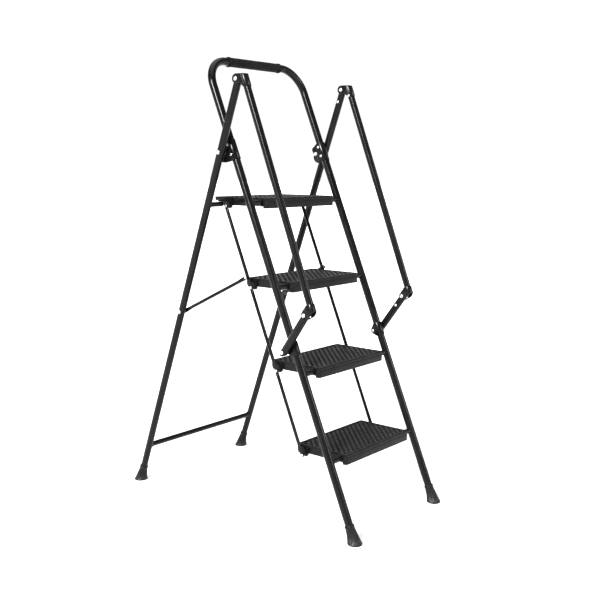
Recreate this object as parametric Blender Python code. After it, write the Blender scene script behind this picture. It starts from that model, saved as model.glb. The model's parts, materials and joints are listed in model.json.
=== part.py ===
"""Folding four-step ladder with side handrails and a padded top hoop.

X is the width (the climber's left is -X), -Y is the climbing side, +Z is up.
The origin is on the floor, in the middle of the footprint.  The frame stands open.
"""
import bpy
import bmesh
from math import radians, degrees, sin, cos, tan, pi, hypot, atan2
from mathutils import Matrix, Vector

# ---------------------------------------------------------------- driving dimensions
GAP = 0.0003                      # air between two pieces that touch
FRONT_FOOT_Y = -0.4542            # front rail axis on the floor
RAIL_TILT = radians(22.8)         # front rails lean back from vertical
LEG_TILT = radians(20.0)          # rear legs lean forward from vertical

RAIL_X = 0.219                    # front rail axis from the middle plane
RAIL_R = 0.0125
RAIL_WALL = 0.0015
HOOP_TOP = 1.5305                 # along the rail, floor to the hoop's top axis
HOOP_BEND = 0.085

LEG_X = 0.2545                    # rear leg, handrail and elbow plane
LEG_R = 0.0115
LEG_WALL = 0.0013
HANDRAIL_R = 0.011
HANDRAIL_OFFSET = 0.0235          # handrail axis in front of its pivots
HANDRAIL_WALL = 0.0012
LINK_R = 0.0118
LINK_WALL = 0.0012
LINK_FOOT_X = 0.2500              # lower end of the elbow link

HINGE_UP = 1.2337                 # main hinge, along the rail
HINGE_BACK = 0.0207               # main hinge, behind the rail axis
APEX_UP = 0.2255                  # handrail pivot above the hinge, along the leg
REST_DOWN = 0.1695                # platform rest below the hinge, along the leg
BRACE_DOWN = 0.5405               # brace pivot below the hinge, along the leg
CROSSBAR_HEIGHT = 0.1345
LINK_UP = 0.5987                  # link pivot, along the rail
LINK_BACK = 0.0164
LINK_LENGTH = 0.1508
LINK_TILT = radians(35.9)         # link leans forward from vertical
ELBOW_SLOT = 0.007                # run of the elbow rivet in its bracket
ELBOW_PIN_R = 0.0029

STEP_COUNT = 4
PLATFORM_TOP = 0.9923
STEP_RISE = 0.250
AXLE_DEPTH = 0.0142               # step axle below the tread
AXLE_R = 0.0085
AXLE_WALL = 0.0015
MAT_HALF = 0.168                  # half width of a step
TRAY_HALF = 0.165
STEP_BACK = 0.1627                # step's back edge behind the rail axis, at tread level
STEP_FRONT = 0.0293               # step's front edge before the rail axis
PLATFORM_EXTRA = 0.035            # the platform reaches further back than the steps
LEDGE_DEPTH = 0.0125              # its rear ledge, tread to underside
MAT_THICK = 0.0035
MAT_RIM = 0.0052
NOSE_DEPTH = 0.032
NOSE_RETURN = 0.014
SHELL = 0.0028                    # thickness of the mat's rim and nose
SHEET = 0.0015                    # thickness of the tray's steel
TRAY_DEPTH = 0.0265

ROD_X = 0.1864                    # link rods that tie the steps together
ROD_R = 0.0056
ROD_FLAT = 0.002                  # half thickness of a flattened eye
EYE_R = 0.0065
ROD_BACK = 0.1264                 # rod pivots behind the rail axis, at tread level
ROD_DROP = 0.0277                 # rod pivots below the tread
ROD_SPACER_R = 0.0045             # sleeve between a tray's lug and its rod
BRACE_PIN_UP = 0.0341             # brace pin above the second step's rod pivot
BRACE_R = 0.0055
BRACE_TOP_X = 0.1958
BRACE_LEG_X = 0.2387
LUG_OUT = 0.1715                  # outer face of a tray lug
REST_R = 0.0078
REST_END_X = 0.1922

HINGE_PLATE = [(0.006, -0.032), (0.0225, -0.029), (0.0270, -0.0245), (0.0285, -0.009),
               (0.0262, -0.004), (0.0262, 0.001), (0.0290, 0.006), (0.0305, 0.0175),
               (0.0275, 0.0225), (0.006, 0.030)]

PLATE = 0.0018                    # bracket steel
SLOT = 0.00035                    # bracket to tube
PIN_R = 0.0035
HOLE_R = PIN_R + GAP
ROD_PIN_R = 0.0025
ROD_HOLE_R = ROD_PIN_R + GAP

FOOT_HEIGHT = 0.058
FOOT_SOLE = 0.012
FOOT_COLLAR = 0.0022
FOOT_FLARE = 0.0230
GRIP_HALF = 0.122
GRIP_R = 0.0145
GRIP_COLLAR = 0.008

SIDES = (("left", -1), ("right", 1))
X_AXIS = Vector((1, 0, 0))
Y_AXIS = Vector((0, 1, 0))


# ---------------------------------------------------------------- positions worked out
def up_lean(angle):
    """Unit vector in the side plane that leans back from vertical by the angle."""
    return Vector((0, sin(angle), cos(angle)))


def back_of(angle):
    """Unit vector square to up_lean, pointing back."""
    return Vector((0, cos(angle), -sin(angle)))


FRONT_FOOT = Vector((0, FRONT_FOOT_Y, 0))
RAIL_UP = up_lean(RAIL_TILT)
RAIL_BACK = back_of(RAIL_TILT)
LEG_UP = up_lean(-LEG_TILT)

HINGE = FRONT_FOOT + RAIL_UP * HINGE_UP + RAIL_BACK * HINGE_BACK
APEX = HINGE + LEG_UP * APEX_UP
BRACE_PIVOT = HINGE - LEG_UP * BRACE_DOWN
REST = HINGE - LEG_UP * REST_DOWN
LINK_PIVOT = FRONT_FOOT + RAIL_UP * LINK_UP + RAIL_BACK * LINK_BACK
ELBOW = LINK_PIVOT + up_lean(-LINK_TILT) * LINK_LENGTH
HANDRAIL_LENGTH = (APEX - ELBOW).length
HANDRAIL_TILT = atan2(APEX.y - ELBOW.y, APEX.z - ELBOW.z)
LEG_LENGTH = HINGE.z / cos(LEG_TILT)


def step_top(index):
    """Height of a tread; the platform is step 0."""
    return PLATFORM_TOP - STEP_RISE * index


def axle_point(index):
    height = step_top(index) - AXLE_DEPTH
    return Vector((0, FRONT_FOOT.y + height * tan(RAIL_TILT), height))


RAIL_SHIFT = AXLE_DEPTH * tan(RAIL_TILT)      # rail axis at tread level, from the axle
TREAD_BACK = RAIL_SHIFT + STEP_BACK
TREAD_FRONT = RAIL_SHIFT - STEP_FRONT
ROD_PIN = Vector((0, RAIL_SHIFT + ROD_BACK, AXLE_DEPTH - ROD_DROP))
BRACE_PIN = axle_point(1) + ROD_PIN + RAIL_UP * BRACE_PIN_UP


# ---------------------------------------------------------------- scene helpers
def clear_scene():
    for item in list(bpy.data.objects):
        bpy.data.objects.remove(item, do_unlink=True)


def make_material(name, color, roughness, metallic):
    mat = bpy.data.materials.new(name)
    mat.use_nodes = True
    shader = mat.node_tree.nodes["Principled BSDF"]
    shader.inputs["Base Color"].default_value = (*color, 1)
    shader.inputs["Roughness"].default_value = roughness
    shader.inputs["Metallic"].default_value = metallic
    return mat


def make_empty(name, location, angle, parent=None):
    """An empty on a joint's axis; its +Z leans forward by the angle."""
    empty = bpy.data.objects.new(name, None)
    bpy.context.scene.collection.objects.link(empty)
    place = Matrix.Translation(location) @ Matrix.Rotation(angle, 4, "X")
    if parent:
        empty.parent = parent
        place = parent_place(parent).inverted() @ place
    empty.matrix_basis = place
    return empty


def parent_place(item):
    place = item.matrix_basis.copy()
    while item.parent:
        item = item.parent
        place = item.matrix_basis @ place
    return place


def add_object(name, mesh, mat, parent, location=(0, 0, 0), sharp=35):
    item = bpy.data.objects.new(name, mesh)
    bpy.context.scene.collection.objects.link(item)
    item.parent = parent
    item.location = location
    mesh.materials.clear()
    mesh.materials.append(mat)
    mesh.shade_smooth()
    mesh.set_sharp_from_angle(angle=radians(sharp))
    return item


def finish_mesh(bm, name):
    bmesh.ops.recalc_face_normals(bm, faces=bm.faces)
    mesh = bpy.data.meshes.new(name)
    bm.to_mesh(mesh)
    bm.free()
    return mesh


# ---------------------------------------------------------------- shape builders
def ring(bm, centre, across, along, count):
    """A closed loop of vertices; across and along are the half axes."""
    steps = (2 * pi * i / count for i in range(count))
    return [bm.verts.new(centre + across * cos(a) + along * sin(a)) for a in steps]


def bridge(bm, first, second):
    count = len(first)
    for i in range(count):
        j = (i + 1) % count
        bm.faces.new((first[i], first[j], second[j], second[i]))


def loft(loops):
    """Solid or hollow body through a chain of (centre, across, along) sections."""
    bm = bmesh.new()
    rings = [ring(bm, *section) for section in loops]
    for first, second in zip(rings, rings[1:]):
        bridge(bm, first, second)
    return bm, rings


def solid_loft(loops, name):
    bm, rings = loft(loops)
    bm.faces.new(rings[0])
    bm.faces.new(rings[-1])
    return finish_mesh(bm, name)


def closed_loft(loops, name):
    """The last section joins the first one, as in a hollow tube's wall."""
    bm, rings = loft(loops)
    bridge(bm, rings[-1], rings[0])
    return finish_mesh(bm, name)


def tube_sections(points, radius, count):
    """Round sections along a path that lies in one plane through the Y direction."""
    sections = []
    for i, point in enumerate(points):
        ahead = points[min(i + 1, len(points) - 1)]
        behind = points[max(i - 1, 0)]
        before = (point - behind).normalized() if i else (ahead - point).normalized()
        after = (ahead - point).normalized() if i < len(points) - 1 else before
        tangent = (before + after).normalized()
        mitre = 1 / max(tangent.dot(before), 0.5)
        side = tangent.cross(Y_AXIS).normalized()
        sections.append((point, side * radius * mitre, Y_AXIS * radius, count))
    return sections


def hollow_tube(points, radius, wall, name, count=20):
    outer = tube_sections(points, radius, count)
    inner = tube_sections(points, radius - wall, count)
    return closed_loft(outer + inner[::-1], name)


def lathe_x(profile, name, side=1, count=12):
    """Turned body about the X axis; the profile is (x, radius) pairs."""
    loops = []
    for x, radius in profile:
        loops.append((Vector((x * side, 0, 0)), Y_AXIS * radius, Vector((0, 0, radius)), count))
    return solid_loft(loops, name)


def cylinder_x(radius, x_from, x_to, name="cutter", count=16):
    return lathe_x([(x_from, radius), (x_to, radius)], name, count=count)


def prism_x(outline, x_from, x_to, name):
    """A flat outline of (y, z) points, drawn out along X."""
    bm = bmesh.new()
    verts = [bm.verts.new((x_from, y, z)) for y, z in outline]
    face = bm.faces.new(verts)
    result = bmesh.ops.extrude_face_region(bm, geom=[face])
    moved = [item for item in result["geom"] if isinstance(item, bmesh.types.BMVert)]
    bmesh.ops.translate(bm, verts=moved, vec=Vector((x_to - x_from, 0, 0)))
    return finish_mesh(bm, name)


def box(low, high, name="box"):
    outline = ((low[1], low[2]), (high[1], low[2]), (high[1], high[2]), (low[1], high[2]))
    return prism_x(outline, low[0], high[0], name)


def arc(centre, radius, start, end, steps):
    """Points on an arc in the side plane; angles in degrees from +Y towards +Z."""
    angles = (radians(start + (end - start) * i / steps) for i in range(steps + 1))
    return [(centre[0] + radius * cos(a), centre[1] + radius * sin(a)) for a in angles]


def move_mesh(mesh, offset, turn=0.0):
    mesh.transform(Matrix.Translation(offset) @ Matrix.Rotation(turn, 4, "X"))
    return mesh


def combine(mesh, tool, operation):
    """Boolean of two closed meshes; gives back a new mesh."""
    body = bpy.data.objects.new("body", mesh)
    other = bpy.data.objects.new("tool", tool)
    for item in (body, other):
        bpy.context.scene.collection.objects.link(item)
    modifier = body.modifiers.new("cut", "BOOLEAN")
    modifier.operation = operation
    modifier.solver = "EXACT"
    modifier.object = other
    graph = bpy.context.evaluated_depsgraph_get()
    result = bpy.data.meshes.new_from_object(body.evaluated_get(graph))
    for item in (body, other):
        bpy.data.objects.remove(item, do_unlink=True)
    return result


def cut(mesh, *tools):
    for tool in tools:
        mesh = combine(mesh, tool, "DIFFERENCE")
    return mesh


def join(mesh, *tools):
    for tool in tools:
        mesh = combine(mesh, tool, "UNION")
    return mesh


def round_end(mesh, x, centre_z, radius, upward):
    """Rounds a tube's end about an X axis through (x, 0, centre_z)."""
    reach = 0.04
    low, high = (centre_z, centre_z + reach) if upward else (centre_z - reach, centre_z)
    block = box((x - reach, -reach, low), (x + reach, reach, high))
    core = move_mesh(cylinder_x(radius, x - 2 * reach, x + 2 * reach, count=28),
                     Vector((0, 0, centre_z)))
    return cut(mesh, cut(block, core))


def pin_hole(radius, x, y, z, length=0.06):
    hole = cylinder_x(radius, x - length / 2, x + length / 2, count=12)
    return move_mesh(hole, Vector((0, y, z)), radians(5))


# ---------------------------------------------------------------- repeated hardware
def rivet(inner_face, outer_face, radius, head, height, name, side, shoulder=None):
    """A through rivet with two domed heads; faces are the distances from the middle plane."""
    low = inner_face - GAP
    high = outer_face + GAP
    profile = [(low - height, head * 0.5), (low - height * 0.5, head * 0.88),
               (low, head), (low, radius)]
    if shoulder:
        start, end, wide = shoulder
        profile += [(start, radius), (start, wide), (end, wide), (end, radius)]
    profile += [(high, radius), (high, head), (high + height * 0.5, head * 0.88),
                (high + height, head * 0.5)]
    return lathe_x(profile, name, side)


def channel_bracket(name, tube_r, inner_half, back, pivot, slot=0.0, web=None, fall=0.0, rise=0.0):
    """Pressed channel that wraps a tube's front; its ears carry a pivot behind the tube.

    back is the ears' outline behind the tube, as (y, z) points from the bottom up.
    A slot can run down from the pivot.  A web closes the channel's top at that height.
    The top edge can fall and the bottom edge rise by a slope towards the front.
    """
    outer_half = inner_half + PLATE
    front = -(tube_r + SLOT + PLATE)
    (start, low), (end, high) = back[0], back[-1]
    nose_low = low + rise * (start - front)
    nose_high = high - fall * (end - front)
    chin = min(0.004, rise * 0.01)
    brow = min(0.004, fall * 0.01)
    nose = [(front + brow, nose_high + brow * fall), (front, nose_high - brow)] if fall else \
        [(front, nose_high)]
    jaw = [(front, nose_low + chin), (front + chin, nose_low - chin * rise)] if rise else \
        [(front, nose_low)]
    body = prism_x(jaw + back + nose, -outer_half, outer_half, name)
    round_front = cylinder_z(tube_r + SLOT + PLATE, low - 0.01, high + 0.01)
    rear = box((-outer_half - 0.01, 0, low - 0.01), (outer_half + 0.01, 0.08, high + 0.01))
    body = combine(body, join(round_front, rear), "INTERSECT")
    top = high + 0.02
    inside = [(0, low - 0.02), (0.09, low - 0.02), (0.09, top), (0, top)]
    if web:
        lean = degrees(atan2(fall, 1))
        top = nose_high - PLATE
        crown = arc(pivot, web, 30, 90 + lean, 5)
        inside[2:] = [(0.09, pivot[1] + web / 2)] + crown
        inside.append((0, crown[-1][1] - fall * crown[-1][0]))
    bore = cylinder_z(tube_r + SLOT, low - 0.02, top)
    channel = prism_x(inside, -inner_half, inner_half, "channel")
    return cut(body, join(bore, channel), slot_tool(*pivot, slot))


def lobe_outline(low, high, pivot, lobe, nose, slot=0.0):
    """Ear outline that is round about the pivot; nose is its depth at both ends."""
    y, z = pivot
    outline = [(nose, low)] + arc((y, z - slot), lobe, -50, 0, 4)
    outline += arc(pivot, lobe, 0 if slot else 12.5, 50, 4 if slot else 3)
    return outline + [(nose, high)]


def slot_tool(y, z, slot):
    """Cutter for a rivet hole, drawn out downwards when there is a slot."""
    outline = arc((y, z), HOLE_R, 0, 180, 6) + arc((y, z - slot), HOLE_R, 180, 360, 6)
    if not slot:
        outline = arc((y, z), HOLE_R, 0, 330, 11)
    return prism_x(outline, -0.05, 0.05, "slot")


def cylinder_z(radius, low, high, count=20):
    across = X_AXIS * radius
    along = Y_AXIS * radius
    ends = [(Vector((0, 0, z)), across, along, count) for z in (low, high)]
    return solid_loft(ends, "cylinder")


def foot(name, radius, lean):
    """Flared rubber foot: flat on the floor, with a socket square to the leaning tube."""
    axis = up_lean(lean)
    square = back_of(lean)
    count = 24
    socket = radius + GAP
    shape = ((0.0, FOOT_FLARE - 0.0010), (0.04, FOOT_FLARE), (0.16, FOOT_FLARE - 0.0008),
             (0.92, radius + FOOT_COLLAR), (1.0, radius + FOOT_COLLAR - 0.0006))
    loops = []
    for part, wide in shape:
        blend = min(part / 0.6, 1.0)
        depth = Y_AXIS.lerp(square, blend).normalized()
        loops.append((axis * FOOT_HEIGHT * part, X_AXIS * wide, depth * wide, count))
    for height in (FOOT_HEIGHT, FOOT_SOLE):
        loops.append((axis * height, X_AXIS * socket, square * socket, count))
    return solid_loft(loops, name)


# ---------------------------------------------------------------- front frame
def hoop_path():
    points = [Vector((-RAIL_X, 0, FOOT_SOLE + GAP))]
    steps = 8
    for side in (-1, 1):
        centre_x = side * (RAIL_X - HOOP_BEND)
        turns = range(steps + 1) if side < 0 else range(steps, -1, -1)
        for i in turns:
            a = radians(90) * i / steps
            x = centre_x + side * HOOP_BEND * cos(a)
            points.append(Vector((x, 0, HOOP_TOP - HOOP_BEND + HOOP_BEND * sin(a))))
    points.append(Vector((RAIL_X, 0, FOOT_SOLE + GAP)))
    return points


def grip_mesh():
    bore = RAIL_R + GAP
    ends = ((0.0, GRIP_R + 0.0006), (0.0012, GRIP_R + 0.0018),
            (GRIP_COLLAR - 0.0012, GRIP_R + 0.0018), (GRIP_COLLAR, GRIP_R))
    profile = [(-GRIP_HALF + x, r) for x, r in ends]
    profile += [(GRIP_HALF - x, r) for x, r in reversed(ends)]
    profile += [(GRIP_HALF, bore), (-GRIP_HALF, bore)]
    loops = [(Vector((x, 0, 0)), Y_AXIS * r, Vector((0, 0, r)), 20) for x, r in profile]
    return closed_loft(loops, "grip_sleeve")


def build_front_frame(root, mats):
    tube = hollow_tube(hoop_path(), RAIL_R, RAIL_WALL, "front_frame_tube", 20)
    add_object("front_frame_tube", tube, mats["paint"], root)
    add_object("grip_sleeve", grip_mesh(), mats["foam"], root, (0, 0, HOOP_TOP))
    for label, side in SIDES:
        shoe = foot("front_foot_" + label, RAIL_R, RAIL_TILT)
        shoe.transform(Matrix.Rotation(RAIL_TILT, 4, "X"))
        add_object("front_foot_" + label, shoe, mats["rubber"], root, (side * RAIL_X, 0, 0))

        name = "hinge_bracket_" + label
        hinge = channel_bracket(name, RAIL_R, RAIL_R + SLOT, HINGE_PLATE, (HINGE_BACK, 0))
        add_object(name, hinge, mats["paint"], root,
                   (side * RAIL_X, 0, HINGE_UP))
        name = "link_bracket_" + label
        pivot = (LINK_BACK, 0)
        back = lobe_outline(-0.021, 0.022, pivot, 0.0085, 0.006)
        lower = channel_bracket(name, RAIL_R, RAIL_R + SLOT, back, pivot)
        add_object(name, lower, mats["paint"], root,
                   (side * RAIL_X, 0, LINK_UP))

        ear = RAIL_R + SLOT + PLATE
        shoulder = (RAIL_X + ear + GAP, LEG_X - LEG_R - GAP, 0.0070)
        pin = rivet(RAIL_X - ear, LEG_X + LEG_R, PIN_R, 0.0068, 0.0026,
                    "hinge_rivet_" + label, side, shoulder)
        add_object("hinge_rivet_" + label, pin, mats["zinc"], root, (0, HINGE_BACK, HINGE_UP))
        shoulder = (RAIL_X + ear + GAP, LINK_FOOT_X - LINK_R - GAP, 0.0065)
        pin = rivet(RAIL_X - ear, LINK_FOOT_X + LINK_R + 2 * GAP, PIN_R, 0.0062, 0.0022,
                    "link_rivet_" + label, side, shoulder)
        add_object("link_rivet_" + label, pin, mats["zinc"], root, (0, LINK_BACK, LINK_UP))


def axle_mesh(name):
    """Cross tube between the front rails, its ends coped to the round rails."""
    wall = AXLE_R - AXLE_WALL
    ends = (-RAIL_X, RAIL_X)
    profile = [(x, AXLE_R) for x in ends] + [(x, wall) for x in reversed(ends)]
    loops = [(Vector((x, 0, 0)), Y_AXIS * r, Vector((0, 0, r)), 16) for x, r in profile]
    mesh = closed_loft(loops, name)
    for x in ends:
        saddle = cylinder_z(RAIL_R + GAP, -0.05, 0.05, 20)
        mesh = cut(mesh, move_mesh(saddle, Vector((x, 0, 0))))
    return mesh


# ---------------------------------------------------------------- rear frame
def leg_mesh(side):
    """Straight leg in the hinge's frame; +Z runs up the leg."""
    x = side * LEG_X
    ends = [Vector((x, 0, FOOT_SOLE + GAP - LEG_LENGTH)), Vector((x, 0, APEX_UP + LEG_R))]
    mesh = hollow_tube(ends, LEG_R, LEG_WALL, "rear_leg", 20)
    mesh = round_end(mesh, x, APEX_UP, LEG_R + 0.0001, True)
    holes = [pin_hole(HOLE_R, x, 0, z) for z in (APEX_UP, 0.0, -BRACE_DOWN)]
    return cut(mesh, *holes)


def rear_bar(name, radius, wall, x_from, x_to, cope_at):
    """Cross member in the legs' frame, coped where it meets a leg."""
    profile = [(x_from, radius), (x_to, radius), (x_to, radius - wall), (x_from, radius - wall)]
    loops = [(Vector((x, 0, 0)), Y_AXIS * r, Vector((0, 0, r)), 16) for x, r in profile]
    mesh = closed_loft(loops, name)
    for x in cope_at:
        saddle = cylinder_z(LEG_R + GAP, -0.05, 0.05, 20)
        mesh = cut(mesh, move_mesh(saddle, Vector((x, 0, 0))))
    return mesh


def build_rear_frame(root, mats):
    crossbar = rear_bar("rear_crossbar", 0.009, 0.0012, -LEG_X, LEG_X, (-LEG_X, LEG_X))
    down = (HINGE.z - CROSSBAR_HEIGHT) / cos(LEG_TILT)
    add_object("rear_crossbar", crossbar, mats["paint"], root, (0, 0, -down))
    for label, side in SIDES:
        add_object("rear_leg_" + label, leg_mesh(side), mats["paint"], root)
        shoe = foot("rear_foot_" + label, LEG_R, -LEG_TILT)
        shoe.transform(Matrix.Rotation(-LEG_TILT, 4, "X"))
        add_object("rear_foot_" + label, shoe, mats["rubber"], root,
                   (side * LEG_X, 0, -LEG_LENGTH))
        inner, outer = sorted((side * REST_END_X, side * LEG_X))
        rest = rear_bar("platform_rest_" + label, REST_R, 0.0013, inner, outer, (side * LEG_X,))
        add_object("platform_rest_" + label, rest, mats["paint"], root, (0, 0, -REST_DOWN))
        pin = rivet(BRACE_LEG_X - ROD_FLAT, LEG_X + LEG_R, PIN_R, 0.0062, 0.0022,
                    "brace_leg_rivet_" + label, side)
        add_object("brace_leg_rivet_" + label, pin, mats["zinc"], root, (0, 0, -BRACE_DOWN))
        ear = HANDRAIL_EAR + PLATE
        pin = rivet(LEG_X - ear, LEG_X + ear, PIN_R, 0.0066, 0.0026,
                    "apex_rivet_" + label, side)
        add_object("apex_rivet_" + label, pin, mats["zinc"], root, (0, 0, APEX_UP))


# ---------------------------------------------------------------- steps
def mat_mesh(name, extra):
    """Plastic tread: top plate, shallow rim and a deep nose that wraps the front corners."""
    top = AXLE_DEPTH
    back = TREAD_BACK + extra
    mesh = box((-MAT_HALF, TREAD_FRONT, top - MAT_RIM), (MAT_HALF, back, top), name)
    nose = box((-MAT_HALF, TREAD_FRONT, top - NOSE_DEPTH),
               (MAT_HALF, TREAD_FRONT + NOSE_RETURN, top - 0.001))
    inside = box((-MAT_HALF + SHELL, TREAD_FRONT + SHELL, top - NOSE_DEPTH - 0.01),
                 (MAT_HALF - SHELL, back - SHELL, top - MAT_THICK))
    mesh = cut(join(mesh, nose), inside)
    return soften(mesh, 0.0018, 55)


def soften(mesh, width, limit):
    """Rounds the edges sharper than the limit on a plain body."""
    bm = bmesh.new()
    bm.from_mesh(mesh)
    bmesh.ops.dissolve_limit(bm, angle_limit=radians(1), verts=bm.verts, edges=bm.edges)
    top = max(v.co.z for v in bm.verts)
    front = min(v.co.y for v in bm.verts)
    chosen = [e for e in bm.edges if rim_edge(e, top, front, limit)]
    bmesh.ops.bevel(bm, geom=chosen, offset=width, segments=2, profile=0.5, affect="EDGES",
                    clamp_overlap=True)
    return finish_mesh(bm, mesh.name)


def rim_edge(edge, top, front, limit):
    """True on the outer top edges and on the upright front corners."""
    if len(edge.link_faces) != 2 or edge.calc_face_angle(0) < radians(limit):
        return False
    ends = [v.co for v in edge.verts]
    on_top = all(abs(p.z - top) < 1e-5 for p in ends)
    corner = all(abs(p.y - front) < 1e-5 and abs(abs(p.x) - MAT_HALF) < 1e-5 for p in ends)
    return on_top or corner


def tray_mesh(name, extra):
    """Pressed steel tray below the mat, with axle holes and a lug for each link rod."""
    top = AXLE_DEPTH - MAT_THICK - GAP
    low = AXLE_DEPTH - TRAY_DEPTH
    front = TREAD_FRONT + SHELL + GAP
    back = TREAD_BACK - SHELL - GAP
    half = MAT_HALF - SHELL - GAP
    mesh = box((-half, front, low), (half, back, top), name)
    mesh = cut(mesh, box((-half + SHEET, front + SHEET, low - 0.01),
                         (half - SHEET, back - SHEET, top - SHEET)))
    if extra:
        ledge = box((-half, back - SHEET / 2, AXLE_DEPTH - LEDGE_DEPTH), (half, back + extra, top))
        hollow = box((-half + SHEET, back + SHEET, AXLE_DEPTH - LEDGE_DEPTH - 0.01),
                     (half - SHEET, back + extra - SHEET, top - SHEET))
        mesh = join(mesh, cut(ledge, hollow))
    for _, side in SIDES:
        mesh = join(mesh, lug_mesh(side, half, back))
        if extra:
            mesh = join(mesh, rest_lip(side))
        mesh = cut(mesh, pin_hole(AXLE_R + GAP, side * half, 0, 0),
                   pin_hole(ROD_HOLE_R, side * half, ROD_PIN.y, ROD_PIN.z))
    return mesh


def lug_mesh(side, half, back):
    """Folded lug on the tray's side; its eye takes the link rod's rivet."""
    high = AXLE_DEPTH - MAT_RIM - 2 * GAP
    eye = (ROD_PIN.y, ROD_PIN.z)
    outline = arc(eye, 0.008, 180, 300, 6)
    outline += [(back - 0.004, AXLE_DEPTH - TRAY_DEPTH), (back - 0.0005, high - 0.008),
                (back - 0.003, high), (ROD_PIN.y - 0.010, high)]
    x_from, x_to = sorted((side * (half - SHEET / 2), side * LUG_OUT))
    return prism_x(outline, x_from, x_to, "lug")


def rest_lip(side):
    """Outward lip of the platform's lug, which sits on the leg's rest tube."""
    rest = REST - axle_point(0)
    low = rest.z + REST_R + GAP
    x_from, x_to = sorted((side * (LUG_OUT - 0.002), side * (REST_END_X + 0.009)))
    outline = ((rest.y - 0.0065, low), (rest.y + 0.0090, low), (rest.y + 0.0090, low + 0.0055),
               (rest.y + 0.0068, low + 0.0055), (rest.y + 0.0060, low + 0.0022),
               (rest.y - 0.0065, low + 0.0022))
    return prism_x(outline, x_from, x_to, "lip")


def build_steps(root, mats):
    joints = []
    for index in range(STEP_COUNT):
        number = str(index + 1)
        place = axle_point(index)
        joint = make_empty("step_joint_" + number, place, 0.0, root)
        joints.append(joint)
        axle = axle_mesh("step_axle_" + number)
        along = (place - FRONT_FOOT).length
        add_object("step_axle_" + number, axle, mats["paint"], root, (0, 0, along))
        extra = 0 if index else PLATFORM_EXTRA
        tray = tray_mesh("step_tray_" + number, extra)
        add_object("step_tray_" + number, tray, mats["paint"], joint)
        tread = mat_mesh("step_mat_" + number, extra)
        add_object("step_mat_" + number, tread, mats["plastic"], joint)
        for label, side in SIDES:
            name = "rod_rivet_" + number + "_" + label
            inside = MAT_HALF - SHELL - GAP - SHEET
            spacer = (LUG_OUT + GAP, ROD_X - ROD_FLAT - GAP, ROD_SPACER_R)
            pin = rivet(inside, ROD_X + ROD_FLAT, ROD_PIN_R, 0.0050, 0.0021, name, side, spacer)
            add_object(name, pin, mats["zinc"], joint, ROD_PIN)
    return joints


# ---------------------------------------------------------------- rods and braces
def eye_section(x, z, radius, flatness, offset_y=0.0, count=12):
    """Section of a round rod pressed towards a flat eye; flatness 1 is fully flat."""
    thick = radius + (ROD_FLAT - radius) * flatness
    wide = radius + (EYE_R - radius) * flatness
    return (Vector((x, offset_y, z)), X_AXIS * thick, Y_AXIS * wide, count)


def end_eye(x, z, direction, radius):
    """Sections of a rod's rounded flat end, from the tip inwards."""
    sections = []
    for lift, share in ((EYE_R, 0.35), (EYE_R * 0.82, 0.62), (EYE_R * 0.4, 0.94)):
        centre = Vector((x, 0, z + direction * lift))
        sections.append((centre, X_AXIS * ROD_FLAT, Y_AXIS * EYE_R * share, 12))
    return sections


def link_rod_mesh(side, name):
    """One rod for all four steps; the origin is the second step's rod pivot."""
    x = side * ROD_X
    pitch = STEP_RISE / cos(RAIL_TILT)
    pins = [pitch * (1 - index) for index in range(STEP_COUNT)]
    sections = end_eye(x, pins[0], 1, ROD_R)
    for number, pin in enumerate(pins):
        flat_from = pin + BRACE_PIN_UP + 0.007
        if number:
            sections.append(eye_section(x, flat_from + 0.011, ROD_R, 0.0))
            sections.append(eye_section(x, flat_from, ROD_R, 1.0))
        if number < STEP_COUNT - 1:
            sections.append(eye_section(x, pin - 0.007, ROD_R, 1.0))
            sections.append(eye_section(x, pin - 0.016, ROD_R, 0.0))
    sections += reversed(end_eye(x, pins[-1], -1, ROD_R))
    mesh = solid_loft(sections, name)
    return cut(mesh, *[pin_hole(ROD_HOLE_R, x, 0, pin) for pin in pins])


def brace_mesh(side, length, name):
    """Round brace with flat eyes; its two ends lie in different side planes."""
    foot_x = side * BRACE_LEG_X
    head_x = side * BRACE_TOP_X
    sections = list(end_eye(foot_x, 0.0, -1, BRACE_R))
    sections.append(eye_section(foot_x, 0.012, BRACE_R, 1.0))
    sections.append(eye_section(foot_x, 0.020, BRACE_R, 0.6))
    start, end = 0.030, length - 0.034
    steps = 5
    for i in range(steps + 1):
        share = i / steps
        x = foot_x + (head_x - foot_x) * (0.03 + 0.94 * share)
        sections.append(eye_section(x, start + (end - start) * share, BRACE_R, 0.0))
    sections.append(eye_section(head_x, length - 0.020, BRACE_R, 0.6))
    sections.append(eye_section(head_x, length - 0.012, BRACE_R, 1.0))
    sections += reversed(end_eye(head_x, length, 1, BRACE_R))
    mesh = solid_loft(sections, name)
    return cut(mesh, pin_hole(HOLE_R, foot_x, 0, 0), pin_hole(ROD_HOLE_R, head_x, 0, length))


def build_rods(joint, rear, mats):
    rod_joint = make_empty("rod_joint", axle_point(1) + ROD_PIN, -RAIL_TILT, joint)
    reach = BRACE_PIN - BRACE_PIVOT
    turn = atan2(-reach.y, reach.z)
    brace_joint = make_empty("brace_joint", BRACE_PIVOT, turn, rear)
    for label, side in SIDES:
        name = "step_link_rod_" + label
        add_object(name, link_rod_mesh(side, name), mats["paint"], rod_joint)
        name = "brace_" + label
        add_object(name, brace_mesh(side, reach.length, name), mats["paint"], brace_joint)
        name = "brace_end_rivet_" + label
        pin = rivet(BRACE_TOP_X - ROD_FLAT, BRACE_TOP_X + ROD_FLAT, ROD_PIN_R, 0.0050, 0.0019,
                    name, side)
        add_object(name, pin, mats["zinc"], brace_joint, (0, 0, reach.length))


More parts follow.
